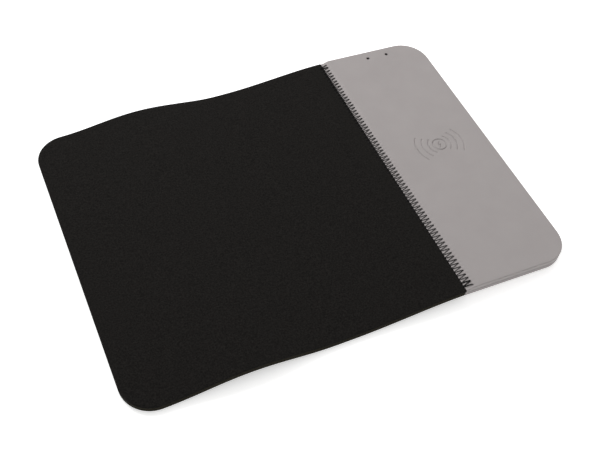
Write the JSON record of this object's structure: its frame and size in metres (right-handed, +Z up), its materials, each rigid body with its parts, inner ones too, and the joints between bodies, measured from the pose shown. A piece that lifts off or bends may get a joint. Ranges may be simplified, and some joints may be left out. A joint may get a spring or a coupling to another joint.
{
  "type": "wireless charging mouse mat",
  "caption": "Soft fabric-faced rubber mouse mat sewn along a zigzag seam to a stiff leatherette panel with a charging coil inside.",
  "frame": {"origin": "on the ground, under the middle of the whole object's box", "axes": "+X along the long side from the free end of the soft mat to the charging panel, +Y from the front edge to the back edge with the socket, +Z up"},
  "size_m": [0.2738, 0.2, 0.0103],
  "materials": {
    "foam_rubber": "matte, fine open texture",
    "knit_fabric": "fine black polyester knit",
    "thread": "black polyester thread",
    "leatherette": "smooth matte grey leatherette",
    "foam": "closed-cell foam",
    "shell_plastic": "moulded",
    "bezel_plastic": "moulded, fine spark texture",
    "coil_wire": "enamelled copper wire",
    "ferrite": "sintered, satin",
    "board": "green solder mask",
    "socket_steel": "plated",
    "tongue_plastic": "moulded",
    "chip_epoxy": "moulded epoxy",
    "capacitor_ceramic": "fired, tinned ends",
    "led_resin": "clear resin over a white body",
    "light_pipe": "smoked acrylic",
    "screw_steel": "zinc plated"
  },
  "bodies": {
    "panel": {"seam_stitch_panel_side": "thread", "panel_top_cover": "leatherette", "panel_bottom_cover": "leatherette", "panel_lip_foam": "foam", "top_shell": "shell_plastic", "bottom_shell": "shell_plastic", "port_bezel": "bezel_plastic", "charging_coil": "coil_wire", "ferrite_shield": "ferrite", "coil_foam_pad": "foam", "coil_lead_1": "coil_wire", "coil_lead_2": "coil_wire", "circuit_board": "board", "usb_socket_shell": "socket_steel", "usb_socket_tongue": "tongue_plastic", "controller_chip": "chip_epoxy", "driver_chip": "chip_epoxy", "power_inductor": "ferrite", "resonant_capacitor_1": "capacitor_ceramic", "resonant_capacitor_2": "capacitor_ceramic", "resonant_capacitor_3": "capacitor_ceramic", "resonant_capacitor_4": "capacitor_ceramic", "status_led_1": "led_resin", "status_led_2": "led_resin", "light_pipe_1": "light_pipe", "light_pipe_2": "light_pipe", "board_screw_1": "screw_steel", "board_screw_2": "screw_steel", "board_screw_3": "screw_steel", "board_screw_4": "screw_steel"},
    "mat": {"mat_rubber_base": "foam_rubber", "mat_fabric": "knit_fabric", "seam_stitch_mat_side": "thread"}
  },
  "joints": [
    {"name": "mat_fold", "type": "hinge", "parent": "panel", "child": "mat", "pos_m": [0.06149, 0, 0.00907], "axis": [0, 1, 0], "range_deg": [0, 165]}
  ]
}
